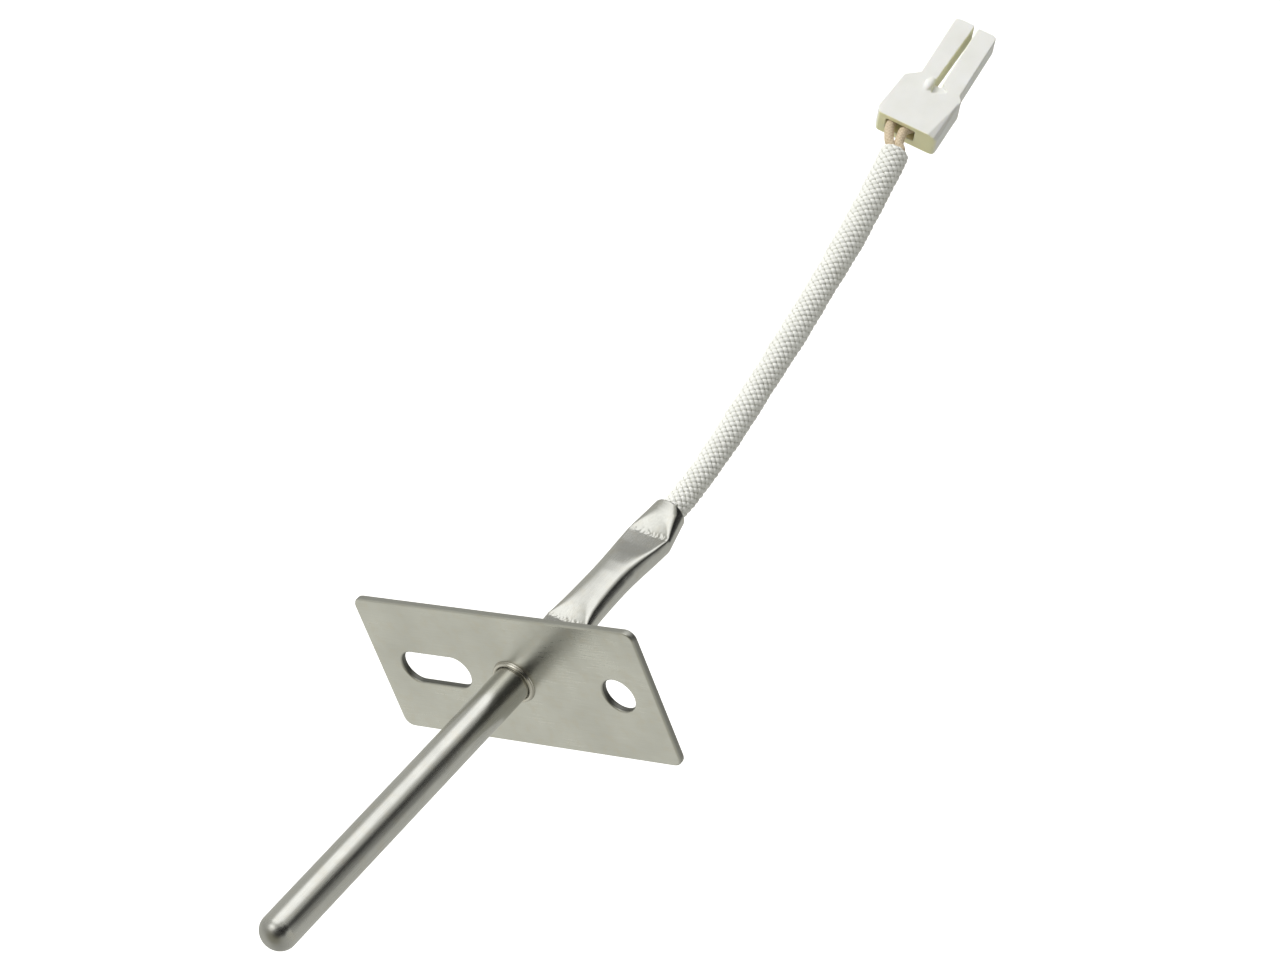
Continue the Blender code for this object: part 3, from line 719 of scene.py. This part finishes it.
def make_sheath(material):
    around = 192
    tip_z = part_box("sheath_tube")[1].z + TIP_RISE
    shoulder = tip_z - DOME_H

    def surface(inset, fine):
        angle = 2.0 * math.pi * np.arange(around) / around
        circle = np.stack([np.cos(angle), np.sin(angle)], axis=1)
        rings = []
        for radius, height in dome_profile(TUBE_R - inset, DOME_H - inset, fine):
            rings.append(np.column_stack([circle * radius, np.full(around, shoulder + height)]))
        rings.reverse()
        for z in np.linspace(shoulder, 0.0, 2 * fine):
            rings.append(np.column_stack([circle * (TUBE_R - inset), np.full(around, z)]))
        for z in np.arange(-0.25, MOUTH_Z / MM, -3.0 / fine):
            rings.append(tail_ring(z * MM, inset, around))
        return rings

    outer = surface(0.0, 20)
    lip = []
    for degrees in range(0, 181, 30):
        a = math.radians(degrees)
        inset = TUBE_WALL / 2 * (1.0 - math.cos(a))
        ring = tail_ring(MOUTH_Z, inset, around)
        ring[:, 2] += LIP_H * (1.0 - math.sin(a))
        lip.append(ring)
    inner = surface(TUBE_WALL, 8)
    inner.reverse()
    mesh = skin("sheath", np.array(crease_marks(outer) + lip + inner))
    face_outwards(mesh)
    add_piece("sheath", mesh, material, "sheath_steel", "sheath_tube")


# ---------------------------------------------------------------- flange and collar


def arc(centre, radius, first_degrees, last_degrees, steps):
    points = []
    for i in range(steps + 1):
        a = math.radians(first_degrees + (last_degrees - first_degrees) * i / steps)
        points.append((centre[0] + radius * math.cos(a), centre[1] + radius * math.sin(a)))
    return points


def make_flange(material):
    """The punched plate, with its edges rolled over a little."""
    low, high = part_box("flange_plate")
    half_x, half_y = high.x - PLATE_CORNER_R, high.y - PLATE_CORNER_R
    corners = ((half_x, half_y, 0), (-half_x, half_y, 90), (-half_x, -half_y, 180), (half_x, -half_y, 270))
    outline = []
    for x, y, start in corners:
        outline += arc((x, y), PLATE_CORNER_R, start, start + 90, 14)
    slot_r = SLOT_WIDTH / 2
    reach = SLOT_LENGTH / 2 - slot_r
    slot = arc((SLOT_X + reach, 0.0), slot_r, -90, 90, 32) + arc((SLOT_X - reach, 0.0), slot_r, 90, 270, 32)
    holes = [slot]
    for x, radius in ((SCREW_HOLE_X, SCREW_HOLE_R), (0.0, SHEATH_HOLE_R)):
        holes.append(arc((x, 0.0), radius, 0, 355, 71))
    curve = bpy.data.curves.new("flange", "CURVE")
    curve.dimensions = "2D"
    curve.fill_mode = "BOTH"
    curve.extrude = (high.z - low.z) / 2 - EDGE_ROUND
    curve.bevel_depth = EDGE_ROUND
    curve.bevel_resolution = 3
    curve.offset = -EDGE_ROUND
    for loop in [outline, *holes]:
        spline = curve.splines.new("POLY")
        spline.points.add(len(loop) - 1)
        for target, (x, y) in zip(spline.points, loop):
            target.co = (x, y, 0.0, 1.0)
        spline.use_cyclic_u = True
    shaper = bpy.data.objects.new("flange_shaper", curve)
    bpy.context.scene.collection.objects.link(shaper)
    bpy.context.view_layer.update()
    mesh = bpy.data.meshes.new_from_object(shaper.evaluated_get(bpy.context.evaluated_depsgraph_get()))
    bpy.data.objects.remove(shaper)
    bm = bmesh.new()
    bm.from_mesh(mesh)
    bmesh.ops.remove_doubles(bm, verts=bm.verts, dist=0.002 * MM)
    bmesh.ops.recalc_face_normals(bm, faces=bm.faces)
    bm.to_mesh(mesh)
    bm.free()
    mesh.transform(Matrix.Translation((0.0, 0.0, (low.z + high.z) / 2)))
    mesh.shade_smooth()
    mesh.materials.clear()
    inside = [abs(v.co.x) < half_x and abs(v.co.y) < half_y for v in mesh.vertices]
    mesh.attributes.new("punched", "FLOAT", "POINT").data.foreach_set("value", inside)
    flange = add_piece("flange", mesh, material, "plate_steel", "flange_plate")
    flange.modifiers.new("flat faces", "WEIGHTED_NORMAL").weight = 100


def make_bead(material):
    """The collar: a half-round bead on the sheath, with a thin skirt where it meets the plate."""
    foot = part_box("flange_plate")[1].z
    middle = (BEAD_BORE_R + BEAD_OUTER_R) / 2
    half = (BEAD_OUTER_R - BEAD_BORE_R) / 2
    profile = [(BEAD_OUTER_R + reach, foot + height) for reach, height in BEAD_SKIRT]
    for degrees in range(0, 181, 12):
        a = math.radians(degrees)
        top = foot + BEAD_WALL_H + (BEAD_H - BEAD_WALL_H) * math.sin(a)
        profile.append((middle + half * math.cos(a), top))
    profile.append((BEAD_BORE_R, foot))
    around = 144
    angle = 2.0 * math.pi * np.arange(around) / around
    rings = [np.column_stack([r * np.cos(angle), r * np.sin(angle), np.full(around, z)]) for r, z in profile]
    mesh = skin("collar_bead", np.array(rings), closed=True)
    face_outwards(mesh)
    add_piece("collar_bead", mesh, material, "collar_steel", "press_collar")


# ---------------------------------------------------------------- lead


def sleeve_radius(distance, angle):
    """The sleeve is squeezed at the mouth, then swells towards its loose end, with a few soft bulges."""
    s = distance / MM
    swell = np.interp(s, *zip(*SLEEVE_SWELL))
    bulge = 0.05 * np.sin(0.31 * s + 1.0) + 0.03 * np.sin(0.83 * s + 2.0 * np.cos(angle))
    squeeze = 0.12 * np.exp(-s / 2.5) * np.cos(2.0 * (angle - PRESS_TURN))
    return (swell + bulge * np.clip(s / 6.0, 0.0, 1.0) + squeeze) * MM


def plug_matrix():
    lean = Matrix.Rotation(PLUG_LEAN, 4, "X")
    turn = Matrix.Rotation(PLUG_TURN, 4, "Z")
    return Matrix.Translation(PLUG_AT) @ lean @ turn


def make_sleeve(material):
    route = [Vector(p) * MM for p in (SLEEVE_TUCK, *LEAD_ROUTE)]
    path = smooth_curve(route, 12)
    mesh, line = braid_tube(
        "braided_lead", path, (1.0, 0.0, 0.0), sleeve_radius, SLEEVE_YARNS, SLEEVE_PITCH,
        rise=0.13 * MM, thickness=0.2 * MM, bore=0.7, lip=0.9 * MM,
    )
    return add_piece("braided_lead", mesh, material, "glass_braid", "braided_sleeve"), line


def make_lead_wires(material):
    """The two covered wires, which spread from inside the sleeve's end and run into the plug."""
    placed = plug_matrix()
    sideways = placed.to_3x3() @ Vector((1.0, 0.0, 0.0))
    wires = []
    for side, points in PLUG_WIRE_ROUTE.items():
        x, y, _ = points[0]
        inside_sleeve = (0.4 + 0.55 * (x - 0.75), y + 0.2, 9.5)
        path = smooth_curve([placed @ (Vector(p) * MM) for p in (inside_sleeve, *points)], 10)
        mesh, _ = braid_tube(
            f"covered_wire_{side}", path, sideways, wire_radius, WIRE_YARNS, WIRE_PITCH,
            rise=0.025 * MM, thickness=0.05 * MM, bore=0.55, cols=12, rows=10,
        )
        wires.append(add_piece(f"covered_wire_{side}", mesh, material, "wire_cover", f"plug_wire_{side}"))
    return wires


def wire_radius(distance, angle):
    return WIRE_R + 0.02 * MM * np.sin(700.0 * distance + angle)


# ---------------------------------------------------------------- plug


def rounded_outline(corners, steps=8):
    """A closed outline through (x, z, radius) corners, each rounded by its own radius."""
    outline = []
    count = len(corners)
    for i, (x, z, radius) in enumerate(corners):
        here = Vector((x, z))
        before = Vector(corners[i - 1][:2])
        after = Vector(corners[(i + 1) % count][:2])
        if radius <= 0.0:
            outline.append(here)
            continue
        back, ahead = (before - here).normalized(), (after - here).normalized()
        half = back.angle(ahead) / 2
        reach = radius / math.tan(half)
        start, end = here + back * reach, here + ahead * reach
        for k in range(steps + 1):
            t = k / steps
            outline.append(start * (1 - t) ** 2 + here * (2 * t * (1 - t)) + end * t**2)
    return outline


def prism(name, outline, low_y, high_y):
    """A closed prism from an outline in x and z, in millimetres."""
    bm = bmesh.new()
    face = bm.faces.new([bm.verts.new((p.x, low_y, p.y)) for p in outline])
    lifted = bmesh.ops.extrude_face_region(bm, geom=[face])
    moved = [g for g in lifted["geom"] if isinstance(g, bmesh.types.BMVert)]
    bmesh.ops.translate(bm, vec=(0.0, high_y - low_y, 0.0), verts=moved)
    bmesh.ops.recalc_face_normals(bm, faces=bm.faces)
    mesh = bpy.data.meshes.new(name)
    bm.to_mesh(mesh)
    bm.free()
    return mesh


def rod(name, radius, x, low, high, sides=48):
    bm = bmesh.new()
    place = Matrix.Translation((x, 0.0, (low + high) / 2))
    bmesh.ops.create_cone(
        bm, cap_ends=True, segments=sides, radius1=radius, radius2=radius, depth=high - low, matrix=place
    )
    mesh = bpy.data.meshes.new(name)
    bm.to_mesh(mesh)
    bm.free()
    return mesh


def combined(base, steps, voxel, softening):
    """Joins and cuts meshes in turn, then resurfaces the result with softly rounded edges."""
    work = bpy.data.objects.new("plug_work", base)
    bpy.context.scene.collection.objects.link(work)
    helpers = []
    for operation, mesh in steps:
        helper = bpy.data.objects.new(mesh.name, mesh)
        bpy.context.scene.collection.objects.link(helper)
        modifier = work.modifiers.new(mesh.name, "BOOLEAN")
        modifier.operation = operation
        modifier.object = helper
        helpers.append(helper)
    remesh = work.modifiers.new("resurface", "REMESH")
    remesh.mode = "VOXEL"
    remesh.voxel_size = voxel
    soft = work.modifiers.new("soften", "SMOOTH")
    soft.factor = 0.5
    soft.iterations = softening
    bpy.context.view_layer.update()
    made = bpy.data.meshes.new_from_object(work.evaluated_get(bpy.context.evaluated_depsgraph_get()))
    for helper in [work, *helpers]:
        bpy.data.objects.remove(helper)
    return made


def swelling(name, centre, size):
    """A smooth bump: a ball stretched to the given half sizes."""
    bm = bmesh.new()
    bmesh.ops.create_icosphere(bm, subdivisions=4, radius=1.0, matrix=Matrix.LocRotScale(centre, None, size))
    mesh = bpy.data.meshes.new(name)
    bm.to_mesh(mesh)
    bm.free()
    return mesh


def hull(name, points):
    bm = bmesh.new()
    for point in points:
        bm.verts.new(point)
    bmesh.ops.convex_hull(bm, input=bm.verts)
    mesh = bpy.data.meshes.new(name)
    bm.to_mesh(mesh)
    bm.free()
    return mesh


def plug_body():
    """The body, whose two shoulders step in to the prongs."""
    return prism("plug", rounded_outline(BODY_OUTLINE), PLUG_FRONT, PLUG_BACK)


def prong(side):
    """One prong, its free corners rounded, with the outer one rounded most."""
    inner, outer, tip = PRONGS[side]
    corners = (
        (outer, tip, PRONG_OUTER_R),
        (inner, tip, PRONG_INNER_R),
        (inner, PRONG_TOP, 0.0),
        (outer, PRONG_TOP, 0.0),
    )
    return prism(f"prong_{side}", rounded_outline(corners), PRONG_FRONT, PRONG_BACK)


def edge_slope(name, near_x, far_x, near_y, far_y):
    """A wedge that cuts an edge back, most at the wire end and hardly at all at the shoulder."""
    wires_end = [(near_x, near_y, 0.3), (far_x, near_y, 0.3), (far_x, far_y, 0.3)]
    shoulder_end = [(-4.5, near_y, -8.8), (far_x, near_y, -8.8), (far_x, near_y + 0.2, -8.8)]
    return hull(name, wires_end + shoulder_end)


def mark_painted_yellow_shade(mesh):
    """Marks where yellow shade is painted on the nylon: its wire end, the pocket and the walls of the gap
    between its prongs.
    """
    values = []
    for vertex in mesh.vertices:
        x, _, z = vertex.co
        # Painted shade on the wire end, stronger the more squarely it faces along +z.
        wire_end = max(vertex.normal.z, 0.0) if z > SHADE_TINT_END_Z else 0.0
        in_pocket = float(all(low < at < high for at, (low, high) in zip(vertex.co, SHADE_TINT_POCKET)))
        between = z < SHADE_TINT_GAP_Z and SHADE_TINT_GAP_X[0] < x < SHADE_TINT_GAP_X[1]
        in_gap = SHADE_TINT_GAP_SHARE * abs(vertex.normal.x) if between else 0.0
        values.append(max(wire_end, in_pocket, in_gap))
    mesh.attributes.new("painted_yellow_shade", "FLOAT", "POINT").data.foreach_set("value", values)


def make_plug(material):
    """The moulded housing, worked out in millimetres in the plug's own frame and then put in its place."""
    steps = [("UNION", prong(side)) for side in PRONGS]
    gap = rounded_outline(GAP_OUTLINE)
    steps.append(("DIFFERENCE", prism("gap", gap, -CLEAR_Y, CLEAR_Y)))
    recess = rounded_outline(RECESS_OUTLINE)
    steps.append(("DIFFERENCE", prism("recess", recess, -CLEAR_Y, PLUG_FRONT + RECESS_DEPTH)))
    steps.append(("UNION", swelling("ridge", RIDGE_AT, RIDGE_SIZE)))
    for name, (across, through) in EDGE_SLOPES.items():
        steps.append(("DIFFERENCE", edge_slope(name, *across, *through)))
    pocket = rounded_outline([(x, z, POCKET_CORNER_R * (z < 0.0)) for x, z in POCKET_OUTLINE])
    steps.append(("DIFFERENCE", prism("pocket", pocket, *POCKET_Y)))
    for side, x in CAVITIES.items():
        tip = PRONGS[side][2]
        steps.append(("DIFFERENCE", rod(f"cavity_{side}", CAVITY_R, x, tip + CAVITY_LIP, CAVITY_TOP)))
        steps.append(("DIFFERENCE", rod(f"mouth_{side}", CAVITY_MOUTH_R, x, tip - 1.0, tip + 2.0)))
        left, right = x - WINDOW_HALF, x + WINDOW_HALF
        low, high = (tip + rise for rise in WINDOW_FROM_TIP)
        corners = ((left, low), (right, low), (right, high), (left, high))
        window = rounded_outline([(*corner, WINDOW_CORNER_R) for corner in corners])
        steps.append(("DIFFERENCE", prism(f"window_{side}", window, WINDOW_FLOOR_Y, CLEAR_Y)))
    mesh = combined(plug_body(), steps, voxel=0.11, softening=9)
    mark_painted_yellow_shade(mesh)
    mesh.transform(plug_matrix() @ Matrix.Scale(MM, 4))
    mesh.shade_smooth()
    mesh.materials.clear()
    return add_piece("plug", mesh, material, "nylon", "plug_housing")


# ---------------------------------------------------------------- the scene


def finish_cad_node(name, material):
    """Gives a CAD node that stays in view its material."""
    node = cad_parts[name]
    node.data.materials.clear()
    node.data.materials.append(material)


def main():
    make_camera()
    make_studio()
    make_floor()

    glass_fibre = braided_fibre("glass_fibre", GLASS_YARN, GLASS_SHADE_AND_DIRT, 0.1)
    sleeve, line = make_sleeve(glass_fibre)
    wire_fibre = braided_fibre("varnished_fibre", WIRE_COVER, WIRE_SHADE_AND_DIRT, 0.1)
    wires = make_lead_wires(wire_fibre)
    nylon = moulded_nylon()
    plug = make_plug(nylon)

    dome_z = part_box("sheath_tube")[1].z - DOME_H
    drawn = steel("drawn_steel", (0.64, 0.64, 0.61), 0.24, (1.0, 1.0, 0.02), 0.0015 * MM, dull_above=dome_z)
    make_sheath(drawn)
    rolled = steel(
        "rolled_steel", (0.66, 0.66, 0.61), 0.31, (0.04, 1.0, 1.0), 0.003 * MM,
        mottle=0.07, cut_edges=True, cloud=0.07,
    )
    make_flange(rolled)
    make_bead(steel("collar_steel", (0.68, 0.66, 0.60), 0.22, (1.0, 1.0, 0.3), 0.001 * MM))

    hidden_sleeve = woven_tube(
        "hidden_glass_fibre", GLASS_YARN, GLASS_SHADE_AND_DIRT, 0.0, SLEEVE_YARNS, SLEEVE_PITCH
    )
    alumina = fired("alumina", (0.90, 0.89, 0.86), (0.82, 0.81, 0.76), 3.0, 0.01 * MM, 0.55)
    cement = fired("cement", (0.80, 0.78, 0.72), (0.62, 0.60, 0.54), 2.0, 0.06 * MM, 0.9)
    nickel = steel("nickel", (0.70, 0.68, 0.62), 0.30, (1.0, 1.0, 0.1), 0.001 * MM)
    brass = steel("contact_brass", (0.76, 0.62, 0.34), 0.28, (1.0, 1.0, 0.2), 0.001 * MM)
    for name, material in (
        ("tip_cement", cement),
        ("sensor_chip", alumina),
        ("ceramic_insulator", alumina),
        ("splice_cover", hidden_sleeve),
        ("tucked_sleeve_end", hidden_sleeve),
    ):
        finish_cad_node(name, material)
    for side, middle_x in (("a", -WIRE_X), ("b", WIRE_X)):
        cover = woven_tube(f"probe_fibre_{side}", WIRE_COVER, WIRE_SHADE_AND_DIRT, middle_x, WIRE_YARNS, WIRE_PITCH)
        finish_cad_node(f"probe_wire_{side}", cover)
        for name in ("chip_lead", "splice_ferrule", "probe_conductor", "plug_conductor"):
            finish_cad_node(f"{name}_{side}", nickel)
        finish_cad_node(f"contact_{side}", brass)


main()
bpy.context.scene.view_settings.view_transform = "Standard"
